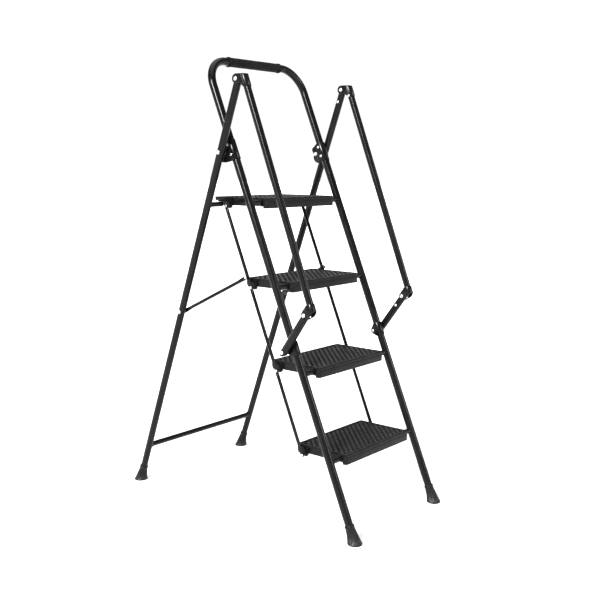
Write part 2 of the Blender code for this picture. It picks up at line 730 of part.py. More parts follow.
# ---------------------------------------------------------------- handrails
HANDRAIL_EAR = LEG_R + 0.0006     # half width between a top bracket's ears
ELBOW_EAR = LINK_R + 0.0009
CAP_R = 0.0140                    # outer radius of the cap over the leg's top
TUBE_TOP = -0.0025                # handrail's upper end, from the apex
TUBE_FOOT = 0.0035                # handrail's lower end, from the elbow


def build_handrails(front, rear, mats):
    rail_joint = make_empty("handrail_joint", APEX, -HANDRAIL_TILT, rear)
    link_joint = make_empty("link_joint", LINK_PIVOT, LINK_TILT, front)
    offset = -HANDRAIL_OFFSET
    for label, side in SIDES:
        x = side * LEG_X
        ends = [Vector((x, offset, TUBE_FOOT - HANDRAIL_LENGTH)), Vector((x, offset, TUBE_TOP))]
        tube = hollow_tube(ends, HANDRAIL_R, HANDRAIL_WALL, "handrail_tube_" + label, 20)
        add_object("handrail_tube_" + label, tube, mats["paint"], rail_joint)
        pivot = (HANDRAIL_OFFSET, 0)
        name = "handrail_top_bracket_" + label
        level = degrees(HANDRAIL_TILT)
        back = [(0.003, -0.036), (0.012, -0.020)] + arc(pivot, CAP_R, -48, 90 + level, 9)
        upper = channel_bracket(name, HANDRAIL_R, HANDRAIL_EAR, back, pivot, web=CAP_R - PLATE,
                                fall=tan(HANDRAIL_TILT))
        add_object(name, upper, mats["paint"], rail_joint, (x, offset, 0))
        name = "handrail_elbow_bracket_" + label
        back = lobe_outline(-0.0105, 0.0245, pivot, 0.0105, 0.006, ELBOW_SLOT)
        lower = channel_bracket(name, HANDRAIL_R, ELBOW_EAR, back, pivot, ELBOW_SLOT,
                                rise=tan(radians(35)))
        add_object(name, lower, mats["paint"], rail_joint, (x, offset, -HANDRAIL_LENGTH))
        build_link(label, side, link_joint, mats)


def build_link(label, side, joint, mats):
    """Short tube from the elbow down to the front rail's lower bracket."""
    name = "link_bar_" + label
    reach = LINK_R * 1.5
    ends = [Vector((0, 0, -reach)), Vector((0, 0, LINK_LENGTH + reach))]
    mesh = hollow_tube(ends, LINK_R, LINK_WALL, name, 20)
    mesh = cut(mesh, pin_hole(HOLE_R, 0, 0, LINK_LENGTH), pin_hole(HOLE_R, 0, 0, 0))
    mesh = round_end(mesh, 0, LINK_LENGTH, LINK_R + 0.0001, True)
    mesh = round_end(mesh, 0, 0.0, LINK_R + 0.0001, False)
    splay = Matrix.Identity(4)
    splay[0][2] = side * (LEG_X - LINK_FOOT_X) / LINK_LENGTH
    splay[0][3] = side * LINK_FOOT_X
    mesh.transform(splay)
    add_object(name, mesh, mats["paint"], joint)
    ear = ELBOW_EAR + PLATE
    pin = rivet(LEG_X - ear, LEG_X + ear, ELBOW_PIN_R, 0.0066, 0.0026,
                "elbow_rivet_" + label, side)
    add_object("elbow_rivet_" + label, pin, mats["zinc"], joint, (0, 0, LINK_LENGTH))


# ---------------------------------------------------------------- assembly
def main():
    clear_scene()
    mats = {
        "paint": make_material("powder_coat", (0.012, 0.012, 0.013), 0.42, 0.0),
        "plastic": make_material("ribbed_plastic", (0.014, 0.014, 0.015), 0.55, 0.0),
        "rubber": make_material("foot_rubber", (0.016, 0.016, 0.016), 0.75, 0.0),
        "foam": make_material("grip_foam", (0.015, 0.015, 0.015), 0.85, 0.0),
        "zinc": make_material("zinc_rivet", (0.75, 0.75, 0.74), 0.3, 1.0),
    }
    front = make_empty("front_frame_joint", FRONT_FOOT, -RAIL_TILT)
    rear = make_empty("fold_joint", HINGE, LEG_TILT, front)
    build_front_frame(front, mats)
    build_rear_frame(rear, mats)
    joints = build_steps(front, mats)
    build_rods(joints[1], rear, mats)
    build_handrails(front, rear, mats)


main()
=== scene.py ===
"""Looks of a folding four-step ladder with handrails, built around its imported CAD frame."""
import json
from math import atan2, cos, pi, radians, sin, sqrt

import bmesh
import bpy
from mathutils import Matrix, Vector


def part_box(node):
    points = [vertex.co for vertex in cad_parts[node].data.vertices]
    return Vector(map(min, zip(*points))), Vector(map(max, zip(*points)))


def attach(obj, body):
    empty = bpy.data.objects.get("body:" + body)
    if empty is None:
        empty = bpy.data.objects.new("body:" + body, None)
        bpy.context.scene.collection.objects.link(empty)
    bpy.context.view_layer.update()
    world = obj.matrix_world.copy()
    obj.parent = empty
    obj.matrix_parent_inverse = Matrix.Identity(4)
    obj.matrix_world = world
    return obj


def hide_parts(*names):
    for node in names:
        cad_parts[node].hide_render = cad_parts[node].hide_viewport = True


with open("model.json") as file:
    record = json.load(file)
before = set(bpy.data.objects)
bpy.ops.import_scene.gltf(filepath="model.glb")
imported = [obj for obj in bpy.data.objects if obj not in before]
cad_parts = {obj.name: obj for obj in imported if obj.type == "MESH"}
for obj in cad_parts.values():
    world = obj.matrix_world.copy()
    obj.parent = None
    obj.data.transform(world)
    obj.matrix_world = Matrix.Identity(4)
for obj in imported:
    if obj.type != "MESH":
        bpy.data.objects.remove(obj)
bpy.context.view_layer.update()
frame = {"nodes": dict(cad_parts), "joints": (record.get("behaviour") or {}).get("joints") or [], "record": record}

X = Vector((1, 0, 0))
Y = Vector((0, 1, 0))
Z = Vector((0, 0, 1))
SIDES = (("left", -1), ("right", 1))

# ---------------------------------------------------------------- places from the frame
PIVOT = {joint["name"]: Vector(joint["pos_m"]) for joint in frame["joints"]}
MOUNT = {mount["name"]: Vector(mount["pos_m"]) for mount in frame["record"]["mounts"]}


def middle(node):
    low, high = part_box(node)
    return (low + high) / 2


def in_plane(point):
    """The point moved into the middle plane."""
    return Vector((0, point.y, point.z))


FRONT_FOOT = in_plane(MOUNT["floor_front_right"])
REAR_FOOT = in_plane(MOUNT["floor_rear_right"])
HINGE = PIVOT["fold"]
APEX = PIVOT["handrail_pivot"]
LINK = PIVOT["elbow_link_pivot"]
BRACE_FOOT = PIVOT["brace_pivot"]
AXLES = [PIVOT["step_%d_tilt" % (i + 1)] for i in range(4)]
ROD_PIN = PIVOT["link_rod_pivot"] - AXLES[1]
ELBOW = in_plane(middle("elbow_rivet_right"))
BRACE_HEAD = in_plane(middle("brace_end_rivet_right"))
REST = in_plane(middle("platform_rest_right"))
CROSSBAR = in_plane(middle("rear_crossbar"))
RAIL_X = MOUNT["floor_front_right"].x
LEG_X = MOUNT["floor_rear_right"].x
ROD_X = middle("step_link_rod_right").x
BRACE_HEAD_X = middle("brace_end_rivet_right").x


def lean_of(lower, upper):
    """Angle that the line from lower to upper leans back from vertical."""
    return atan2(upper.y - lower.y, upper.z - lower.z)


RAIL_LEAN = lean_of(AXLES[3], AXLES[0])
LEG_LEAN = lean_of(HINGE, APEX)
HANDRAIL_LEAN = lean_of(ELBOW, APEX)
LINK_LEAN = lean_of(LINK, ELBOW)
BRACE_LEAN = lean_of(BRACE_FOOT, BRACE_HEAD)

# ---------------------------------------------------------------- sizes in metres
RAIL_R = 0.0125
LEG_R = 0.0115
HANDRAIL_R = 0.011
HANDRAIL_OFFSET = 0.0235
LINK_R = 0.0118
LINK_FOOT_X = 0.2500
AXLE_R = 0.0085
CROSSBAR_R = 0.009
REST_R = 0.0078
REST_END_X = 0.1922
LUG_OUT = 0.1715
ROD_SPACER_R = 0.0045
EAR = 0.0006
ELBOW_EAR = 0.0009
TUBE_TOP = -0.0025
TUBE_FOOT = 0.0035
ROD_R = 0.0056
ROD_FLAT = 0.0020
EYE_R = 0.0065
BRACE_R = 0.0055
BRACE_LEG_X = 0.2387
PLATE = 0.0018
GAP = 0.0003
HOOP_BEND = 0.085
FOOT_HEIGHT = 0.058
FOOT_SOLE = 0.012
FOOT_FLARE = 0.0230
MAT_HALF = 0.168
MAT_CORNER = 0.009
RIB_PITCH = 0.0150
STEP_RISE = 0.250

RAIL_WALL = 0.0015
AXLE_WALL = 0.0015
THIN_WALL = 0.0012                # handrails and the rear crossbar
SLIP = 0.0001                     # air between a tube and what is pushed over it
BRACKET_AIR = 0.00035             # air between a rail and a bracket's cheeks
PLATE_EDGE = 0.0004               # rounding of a pressed bracket's edges
TRAY_EDGE = 0.0005
BITE = 0.0003                     # depth that a fixing rivet sits in its tube

# rivets: shank radius, head radius, head height
HINGE_RIVET = (0.0035, 0.0068, 0.0026)
APEX_RIVET = (0.0035, 0.0066, 0.0026)
ELBOW_RIVET = (0.0029, 0.0066, 0.0026)
LINK_RIVET = (0.0035, 0.0062, 0.0022)
ROD_RIVET = (0.0025, 0.0050, 0.0021)
BRACE_RIVET = (0.0025, 0.0050, 0.0019)
BRACKET_RIVET = (0.0024, 0.0050, 0.0021)
BLIND_RIVET = (0.0023, 0.0046, 0.0018)
PIVOT_BORE = 0.0036
ROD_BORE = 0.0026
HINGE_BUSH_R = 0.0082
LINK_SPACER_R = 0.0065
ROD_RIVET_INNER = 0.1634          # a rod rivet's inner head from the middle plane
HINGE_FIXINGS = (0.0165, -0.0150)   # above the hinge, along the rail
HINGE_FIXING_BACK = 0.0015
LEG_FIXING_DOWN = 0.0415
CLEVIS_FIXING_DOWN = 0.031
LINK_FIXING_DOWN = 0.040

# angles in degrees above which an edge shades as sharp
PRESSED = 30
TRAY_SHARP = 32
MAT_SHARP = 38
GRIP_SHARP = 40                   # and the hinges' cheek plates
BAR_SHARP = 45
TURNED = 50
WELDED = 60


def place(origin, lean=0.0):
    """A frame at the origin whose +Z leans back by the angle."""
    return Matrix.Translation(origin) @ Matrix.Rotation(-lean, 4, "X")


FRONT_PLACE = place(FRONT_FOOT, RAIL_LEAN)
REAR_PLACE = place(HINGE, LEG_LEAN)
HANDRAIL_PLACE = place(APEX, HANDRAIL_LEAN)
LINK_PLACE = place(LINK, LINK_LEAN)
HOOP_TOP = (FRONT_PLACE.inverted() @ middle("grip_sleeve")).z
HINGE_UP, HINGE_BACK = (FRONT_PLACE.inverted() @ HINGE).zy
LINK_UP, LINK_BACK = (FRONT_PLACE.inverted() @ LINK).zy
LEG_LENGTH = (HINGE - REAR_FOOT).length
APEX_UP = (APEX - HINGE).length
HANDRAIL_LENGTH = (APEX - ELBOW).length
LINK_LENGTH = (ELBOW - LINK).length


# ---------------------------------------------------------------- materials
def new_material(name):
    mat = bpy.data.materials.new(name)
    mat.use_nodes = True
    tree = mat.node_tree
    shader = tree.nodes["Principled BSDF"]
    return mat, tree, shader


def add_node(tree, kind, **settings):
    item = tree.nodes.new(kind)
    for key, value in settings.items():
        setattr(item, key, value)
    return item


def noise(tree, scale, detail=3.0, rough=0.5):
    """Noise in the piece's own coordinates; gives its factor socket."""
    coords = add_node(tree, "ShaderNodeTexCoord")
    texture = add_node(tree, "ShaderNodeTexNoise")
    texture.inputs["Scale"].default_value = scale
    texture.inputs["Detail"].default_value = detail
    texture.inputs["Roughness"].default_value = rough
    tree.links.new(coords.outputs["Object"], texture.inputs["Vector"])
    return texture.outputs["Fac"]


def cells(tree, scale):
    """Small rounded cells in the piece's own coordinates."""
    coords = add_node(tree, "ShaderNodeTexCoord")
    texture = add_node(tree, "ShaderNodeTexVoronoi", feature="SMOOTH_F1")
    texture.inputs["Scale"].default_value = scale
    tree.links.new(coords.outputs["Object"], texture.inputs["Vector"])
    return texture.outputs["Distance"]


def span(tree, source, low, high, start, end):
    """Maps a factor from low..high to start..end, clamped."""
    item = add_node(tree, "ShaderNodeMapRange")
    for name, value in (("From Min", low), ("From Max", high), ("To Min", start), ("To Max", end)):
        item.inputs[name].default_value = value
    tree.links.new(source, item.inputs["Value"])
    return item.outputs["Result"]


def height_band(tree, low, high, start, end):
    """Maps height in the piece's own coordinates from low..high to start..end."""
    coords = add_node(tree, "ShaderNodeTexCoord")
    split = add_node(tree, "ShaderNodeSeparateXYZ")
    tree.links.new(coords.outputs["Object"], split.inputs["Vector"])
    return span(tree, split.outputs["Z"], low, high, start, end)


def times(tree, first, second):
    item = add_node(tree, "ShaderNodeMath", operation="MULTIPLY")
    for socket, source in zip(item.inputs, (first, second)):
        if isinstance(source, float):
            socket.default_value = source
        else:
            tree.links.new(source, socket)
    return item.outputs[0]


def mix(tree, factor, first, second):
    """Colour mix; each colour is a tuple or a socket."""
    item = add_node(tree, "ShaderNodeMix", data_type="RGBA")
    tree.links.new(factor, item.inputs["Factor"])
    for name, source in (("A", first), ("B", second)):
        socket = [s for s in item.inputs if s.name == name and s.type == "RGBA"][0]
        if isinstance(source, tuple):
            socket.default_value = (*source, 1)
        else:
            tree.links.new(source, socket)
    return [s for s in item.outputs if s.type == "RGBA"][0]


def bump(tree, shader, layers):
    """Stacks bump layers; each is (height socket, strength, distance)."""
    normal = None
    for height, strength, distance in layers:
        item = add_node(tree, "ShaderNodeBump")
        item.inputs["Strength"].default_value = strength
        item.inputs["Distance"].default_value = distance
        tree.links.new(height, item.inputs["Height"])
        if normal:
            tree.links.new(normal, item.inputs["Normal"])
        normal = item.outputs["Normal"]
    tree.links.new(normal, shader.inputs["Normal"])


def edge_wear(tree, low, high, amount):
    """Strongest on worn outer edges, broken up by noise."""
    geometry = add_node(tree, "ShaderNodeNewGeometry")
    edges = span(tree, geometry.outputs["Pointiness"], low, high, 0.0, amount)
    return times(tree, edges, span(tree, noise(tree, 70, 4), 0.40, 0.62, 0.15, 1.0))


def dust(tree, amount):
    """Settles on faces that look up."""
    geometry = add_node(tree, "ShaderNodeNewGeometry")
    split = add_node(tree, "ShaderNodeSeparateXYZ")
    tree.links.new(geometry.outputs["Normal"], split.inputs["Vector"])
    up = span(tree, split.outputs["Z"], 0.35, 0.95, 0.0, amount)
    return times(tree, up, span(tree, noise(tree, 28, 5, 0.65), 0.38, 0.66, 0.1, 1.0))


def paint_material():
    """Black powder coat: satin, with a fine orange peel and small worn edges."""
    mat, tree, shader = new_material("powder_coat_black")
    tone = mix(tree, span(tree, noise(tree, 11), 0.35, 0.65, 0, 1),
               (0.0022, 0.0022, 0.0024), (0.0042, 0.0042, 0.0045))
    tone = mix(tree, edge_wear(tree, 0.62, 0.74, 0.5), tone, (0.040, 0.040, 0.042))
    tone = mix(tree, dust(tree, 0.05), tone, (0.09, 0.088, 0.084))
    tree.links.new(tone, shader.inputs["Base Color"])
    rough = span(tree, noise(tree, 34, 5), 0.32, 0.70, 0.15, 0.24)
    tree.links.new(rough, shader.inputs["Roughness"])
    shader.inputs["Specular IOR Level"].default_value = 0.13
    bump(tree, shader, [(noise(tree, 420, 2), 0.12, 0.0001), (noise(tree, 2300, 1), 0.08, 0.0001)])
    return mat


def tread_material():
    """Moulded black plastic: fine spark grain, slightly polished where shoes rub."""
    mat, tree, shader = new_material("tread_plastic_black")
    tone = mix(tree, span(tree, noise(tree, 16, 4), 0.35, 0.68, 0, 1),
               (0.0026, 0.0027, 0.0029), (0.0050, 0.0051, 0.0054))
    tone = mix(tree, edge_wear(tree, 0.56, 0.66, 0.5), tone, (0.034, 0.034, 0.035))
    tone = mix(tree, dust(tree, 0.05), tone, (0.10, 0.097, 0.092))
    tree.links.new(tone, shader.inputs["Base Color"])
    rough = span(tree, noise(tree, 26, 5), 0.32, 0.70, 0.34, 0.50)
    groove = times(tree, height_band(tree, -0.0014, -0.0007, 1.0, 0.0),
                   height_band(tree, -0.0032, -0.0022, 0.0, 1.0))
    matt = add_node(tree, "ShaderNodeMath", operation="MAXIMUM")
    tree.links.new(rough, matt.inputs[0])
    tree.links.new(times(tree, groove, 0.92), matt.inputs[1])
    tree.links.new(matt.outputs[0], shader.inputs["Roughness"])
    shader.inputs["Specular IOR Level"].default_value = 0.09
    bump(tree, shader, [(cells(tree, 1100), 0.25, 0.00012), (noise(tree, 240, 3), 0.18, 0.0002)])
    return mat


def rubber_material():
    """Matte rubber, greyer and scuffed towards the floor."""
    mat, tree, shader = new_material("foot_rubber_black")
    low = height_band(tree, 0.0, 0.022, 0.42, 0.0)
    scuff = times(tree, low, span(tree, noise(tree, 120, 5, 0.7), 0.42, 0.62, 0.0, 1.0))
    tone = mix(tree, span(tree, noise(tree, 30, 4), 0.35, 0.65, 0, 1),
               (0.0030, 0.0030, 0.0032), (0.0060, 0.0060, 0.0062))
    tone = mix(tree, scuff, tone, (0.075, 0.073, 0.070))
    tree.links.new(tone, shader.inputs["Base Color"])
    rough = span(tree, noise(tree, 60, 4), 0.35, 0.65, 0.30, 0.46)
    tree.links.new(rough, shader.inputs["Roughness"])
    shader.inputs["Specular IOR Level"].default_value = 0.13
    bump(tree, shader, [(noise(tree, 900, 3), 0.25, 0.0002)])
    return mat


def foam_material():
    """Closed-cell foam: matte, finely pitted."""
    mat, tree, shader = new_material("grip_foam_black")
    tone = mix(tree, span(tree, noise(tree, 45, 5), 0.35, 0.65, 0, 1),
               (0.0030, 0.0030, 0.0031), (0.0065, 0.0065, 0.0067))
    tree.links.new(tone, shader.inputs["Base Color"])
    rough = span(tree, noise(tree, 80, 4), 0.35, 0.65, 0.60, 0.80)
    tree.links.new(rough, shader.inputs["Roughness"])
    shader.inputs["Specular IOR Level"].default_value = 0.07
    bump(tree, shader, [(cells(tree, 1500), 0.5, 0.00025), (noise(tree, 300, 3), 0.25, 0.0003)])
    return mat


def zinc_material():
    """Bright zinc plate with hammer marks and a little haze."""
    mat, tree, shader = new_material("rivet_zinc")
    tone = mix(tree, span(tree, noise(tree, 260, 4), 0.35, 0.68, 0, 1),
               (0.58, 0.58, 0.575), (0.40, 0.40, 0.40))
    tree.links.new(tone, shader.inputs["Base Color"])
    shader.inputs["Metallic"].default_value = 1.0
    rough = span(tree, noise(tree, 500, 4), 0.35, 0.68, 0.30, 0.48)
    tree.links.new(rough, shader.inputs["Roughness"])
    bump(tree, shader, [(noise(tree, 700, 3), 0.30, 0.0003)])
    return mat


def bush_material():
    """Nylon spacer, smoother than the treads."""
    mat, tree, shader = new_material("spacer_nylon_black")
    tone = mix(tree, span(tree, noise(tree, 90, 4), 0.35, 0.65, 0, 1),
               (0.0100, 0.0100, 0.0105), (0.0160, 0.0160, 0.0165))
    tree.links.new(tone, shader.inputs["Base Color"])
    rough = span(tree, noise(tree, 150, 4), 0.35, 0.65, 0.40, 0.55)
    tree.links.new(rough, shader.inputs["Roughness"])
    shader.inputs["Specular IOR Level"].default_value = 0.16
    bump(tree, shader, [(noise(tree, 800, 3), 0.20, 0.0002)])
    return mat


PAINT = paint_material()
TREAD = tread_material()
RUBBER = rubber_material()
FOAM = foam_material()
ZINC = zinc_material()
NYLON = bush_material()


# ---------------------------------------------------------------- mesh building
def circle(centre, across, along, count):
    turns = (2 * pi * i / count for i in range(count))
    return [centre + across * cos(a) + along * sin(a) for a in turns]


def skin(rings, loop=False):
    """Faces over a chain of equal rings, capped or joined end to end."""
    count = len(rings[0])
    verts = [point for ring in rings for point in ring]
    faces = []
    last = len(rings) if loop else len(rings) - 1
    for r in range(last):
        here = r * count
        there = (r + 1) % len(rings) * count
        for i in range(count):
            j = (i + 1) % count
            faces.append((here + i, here + j, there + j, there + i))
    if not loop:
        faces.append(tuple(range(count)))
        faces.append(tuple(range(len(verts) - count, len(verts))))
    return verts, faces


def build_mesh(name, *shells):
    """One mesh of closed shells, each turned to face out."""
    mesh = bpy.data.meshes.new(name)
    whole = bmesh.new()
    for verts, faces in shells:
        made = [whole.verts.new(point) for point in verts]
        for face in faces:
            whole.faces.new([made[i] for i in face])
    bmesh.ops.recalc_face_normals(whole, faces=whole.faces)
    whole.to_mesh(mesh)
    whole.free()
    return mesh


def add_piece(name, mesh, material, body, spot=None, nodes=(), sharp=35):
    """Adds a finished piece on a body, in place of the named nodes."""
    piece = bpy.data.objects.new(name, mesh)
    bpy.context.scene.collection.objects.link(piece)
    if spot is not None:
        piece.matrix_world = spot
    if not mesh.materials:
        mesh.materials.append(material)
        mesh.shade_smooth()
        mesh.set_sharp_from_angle(angle=radians(sharp))
    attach(piece, body)
    if nodes:
        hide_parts(*nodes)
    return piece


def path_rings(points, radius, count):
    """Round sections along a path in a plane that holds the X and Z directions."""
    rings = []
    for i, point in enumerate(points):
        ahead = points[min(i + 1, len(points) - 1)]
        behind = points[max(i - 1, 0)]
        before = (point - behind).normalized() if i else (ahead - point).normalized()
        after = (ahead - point).normalized() if i < len(points) - 1 else before
        tangent = (before + after).normalized()
        mitre = 1 / max(tangent.dot(before), 0.5)
        side = tangent.cross(Y).normalized()
        rings.append(circle(point, side * radius * mitre, Y * radius, count))
    return rings


def pipe(points, radius, wall, count=40):
    outer = path_rings(points, radius, count)
    inner = path_rings(points, radius - wall, count)
    return skin(outer + inner[::-1], loop=True)


def turned_x(profile, side=1, count=32, loop=False):
    """Turned shell about X; the profile is (x, radius) pairs."""
    rings = [circle(X * x * side, Y * r, Z * r, count) for x, r in profile]
    return skin(rings, loop)


def round_topped_rod(radius, low, high, count=40, round_low=False):
    """Bar along Z whose end is rounded about X, with its axis at the end's centre."""
    def end_ring(level, direction):
        ring = circle(Z * level, X * radius, Y * radius, count)
        for point in ring:
            point.z += direction * sqrt(max(radius ** 2 - point.y ** 2, 0.0))
        return ring

    bottom = end_ring(low, -1) if round_low else circle(Z * low, X * radius, Y * radius, count)
    top = end_ring(high, 1)
    verts, faces = skin([bottom, circle(Z * (low + radius * 0.2), X * radius, Y * radius, count),
                         circle(Z * (high - radius * 0.2), X * radius, Y * radius, count), top])
    start = len(verts) - count
    del faces[-2:]
    for base, rounded in ((0, round_low), (start, True)):
        if not rounded:
            faces.append(tuple(range(base, base + count)))
            continue
        faces += cross_strips(base, count)
    return verts, faces


def cross_strips(base, count):
    """Bands across a saddle-shaped ring, each joining points at equal depth."""
    quarter = count // 4
    half = count // 2
    strips = []
    for i in range(-quarter, quarter):
        a, b = i % count, (i + 1) % count
        c, d = (half - i - 1) % count, (half - i) % count
        strips.append(tuple(base + k for k in dict.fromkeys((a, b, c, d))))
    return strips


def refine(node, name, width, segments=2):
    """A copy of a CAD node's mesh with its hard edges rounded."""
    source = frame["nodes"][node]
    mesh = source.data.copy()
    mesh.materials.clear()
    work = bmesh.new()
    work.from_mesh(mesh)
    bmesh.ops.remove_doubles(work, verts=work.verts, dist=0.00002)
    bmesh.ops.dissolve_limit(work, angle_limit=radians(1), verts=work.verts, edges=work.edges)
    work.to_mesh(mesh)
    work.free()
    draft = bpy.data.objects.new("draft", mesh)
    bpy.context.scene.collection.objects.link(draft)
    rounding = draft.modifiers.new("round", "BEVEL")
    rounding.width = width
    rounding.segments = segments
    rounding.limit_method = "ANGLE"
    rounding.angle_limit = radians(32)
    graph = bpy.context.evaluated_depsgraph_get()
    result = bpy.data.meshes.new_from_object(draft.evaluated_get(graph))
    result.name = name
    bpy.data.objects.remove(draft, do_unlink=True)
    return result


# ---------------------------------------------------------------- rivets
def head_profile(face, direction, shank, head, height):
    """Domed head with a small punched dimple, from the shank outwards."""
    points = [(face, shank), (face, head * 0.96), (face + direction * height * 0.10, head)]
    for share in (0.30, 0.55, 0.75, 0.90):
        points.append((face + direction * height * (0.12 + 0.88 * sin(share * pi / 2)),
                       head * sqrt(1 - share ** 2) * 0.98 + 0.0002))
    points.append((face + direction * height, head * 0.30))
    points.append((face + direction * height * 0.72, head * 0.20))
    points.append((face + direction * height * 0.70, head * 0.05))
    return points


def rivet_mesh(name, inner, outer, rivet, side):
    """Through rivet; faces are distances from the middle plane."""
    low = head_profile(inner - GAP, -1, *rivet)
    high = head_profile(outer + GAP, 1, *rivet)
    return build_mesh(name, turned_x(low[::-1] + high, side, 28))


def blind_rivet(name, face, side, direction):
    """Fixing rivet seen from one side only; its shank ends inside the tube."""
    profile = head_profile(face, direction, *BLIND_RIVET)
    profile.insert(0, (face - direction * 0.004, BLIND_RIVET[0]))
    return build_mesh(name, turned_x(profile, side, 24))


def sleeve(start, end, bore, radius):
    """Profile of a spacer with a rim at each end."""
    rim, waist = 0.0005, radius - 0.0005
    collar = (end - start) * 0.28
    return [(start, bore), (start, waist), (start + rim, radius), (start + collar, radius),
            (start + collar + rim, waist), (end - collar - rim, waist), (end - collar, radius),
            (end - rim, radius), (end, waist), (end, bore)]


def spot_at(frame_place, y, z):
    return frame_place @ Matrix.Translation((0, y, z))


# ---------------------------------------------------------------- welds
BEAD_R = 0.0017
BEAD_RIPPLE = 0.00035


def weld_bead(branch_x, trunk_r, branch_r, side, ripple=26):
    """Rippled bead where a cross tube along X meets a tube along Z."""
    rings = []
    count = ripple * 4
    for i in range(count):
        a = 2 * pi * i / count
        y, z = branch_r * cos(a), branch_r * sin(a)
        x = branch_x - sqrt(trunk_r ** 2 - y ** 2)
        centre = Vector((side * x, y * 1.03, z * 1.03))
        outward = Vector((0, cos(a), sin(a)))
        size = BEAD_R + BEAD_RIPPLE * cos(ripple * a)
        rings.append(circle(centre, outward * size, X * size * 1.15, 8))
    return skin(rings, loop=True)


# ---------------------------------------------------------------- front frame
def hoop_points():
    points = [Vector((-RAIL_X, 0, FOOT_SOLE + GAP))]
    steps = 24
    for side in (-1, 1):
        centre = side * (RAIL_X - HOOP_BEND)
        turns = range(steps + 1) if side < 0 else range(steps, -1, -1)
        for i in turns:
            a = radians(90) * i / steps
            points.append(Vector((centre + side * HOOP_BEND * cos(a), 0,
                                  HOOP_TOP - HOOP_BEND + HOOP_BEND * sin(a))))
    points.append(Vector((RAIL_X, 0, FOOT_SOLE + GAP)))
    return points


def grip_mesh():
    """Foam sleeve with rolled end collars and faint mould lines along it."""
    low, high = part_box("grip_sleeve")
    half = (high.x - low.x) / 2
    body = 0.0146
    collar = 0.0159
    lip = ((0.0, 0.0150), (0.0006, 0.0156), (0.0018, collar), (0.0060, collar),
           (0.0074, 0.0156), (0.0082, 0.0150), (0.0092, body))
    profile = [(-half + x, r) for x, r in lip]
    profile += [(-half + 0.016 + (2 * half - 0.032) * i / 20, body) for i in range(21)]
    profile += [(half - x, r) for x, r in reversed(lip)]
    rings = []
    count = 72
    for x, radius in profile:
        ring = []
        for i in range(count):
            a = 2 * pi * i / count
            flute = 0.00022 * (0.5 - 0.5 * cos(12 * a)) if radius == body else 0.0
            sag = 0.00012 * sin(x * 95 + 1.3) * sin(a * 2 + x * 31)
            r = radius - flute + (sag if radius == body else 0.0)
            ring.append(Vector((x, r * cos(a), r * sin(a))))
        rings.append(ring)
    bore = RAIL_R + SLIP
    rings.append(circle(X * half, Y * bore, Z * bore, count))
    rings.append(circle(X * -half, Y * bore, Z * bore, count))
    mesh = build_mesh("grip", skin(rings, loop=True))
    mesh.transform(spot_at(FRONT_PLACE, 0, HOOP_TOP))
    return mesh


def foot_mesh(name, radius, lean):
    """Flared rubber boot with flutes, a floor lip and a rolled collar.

    It is built upright on the floor, with its socket leaning back by the angle.
    """
    axis = Vector((0, sin(lean), cos(lean)))
    square = Vector((0, cos(lean), -sin(lean)))
    count = 112
    flutes = 16
    top = radius + 0.0022
    shape = [(0.0, FOOT_FLARE - 0.0014), (0.015, FOOT_FLARE - 0.0006),
             (0.035, FOOT_FLARE - 0.0004), (0.075, FOOT_FLARE - 0.0004),
             (0.095, FOOT_FLARE - 0.0008), (0.11, FOOT_FLARE - 0.0016)]
    for i in range(1, 13):
        share = i / 12
        width = (FOOT_FLARE - 0.0016) * (1 - share) + (top - 0.0003) * share
        width -= 0.0012 * sin(share * pi)
        shape.append((0.11 + 0.77 * share, width))
    shape += [(0.895, top + 0.0004), (0.91, top + 0.0007), (0.96, top + 0.0007),
              (0.985, top + 0.0003), (1.0, top - 0.0006)]
    rings = []
    for share, wide in shape:
        turn = min(share / 0.55, 1.0)
        depth = (Y * (1 - turn) + square * turn).normalized()
        groove = 0.0016 * sin(pi * min(max((share - 0.11) / 0.77, 0.0), 1.0)) ** 0.6
        ring = []
        for i in range(count):
            a = 2 * pi * i / count
            r = wide - groove * (0.5 - 0.5 * cos(flutes * a)) ** 2
            ring.append(axis * FOOT_HEIGHT * share + X * r * cos(a) + depth * r * sin(a))
        rings.append(ring)
    bore = radius + SLIP
    for height in (FOOT_HEIGHT - 0.0004, FOOT_SOLE):
        rings.append(circle(axis * height, X * bore, square * bore, count))
    return build_mesh(name, skin(rings))


def build_front():
    add_piece("front_hoop", build_mesh("front_hoop", pipe(hoop_points(), RAIL_R, RAIL_WALL, 48)),
              PAINT, "front_frame", FRONT_PLACE, ["front_frame_tube"])
    grip = add_piece("foam_grip", grip_mesh(), FOAM, "front_frame", None, ["grip_sleeve"], GRIP_SHARP)
    boot = foot_mesh("front_boot", RAIL_R, RAIL_LEAN)
    for label, side in SIDES:
        name = "front_boot_" + label
        add_piece(name, boot, RUBBER, "front_frame",
                  Matrix.Translation(FRONT_FOOT + X * side * RAIL_X), ["front_foot_" + label])
        build_hinge(label, side)
        build_link_bracket(label, side)
    for number, axle in enumerate(AXLES, 1):
        build_axle(number, axle)


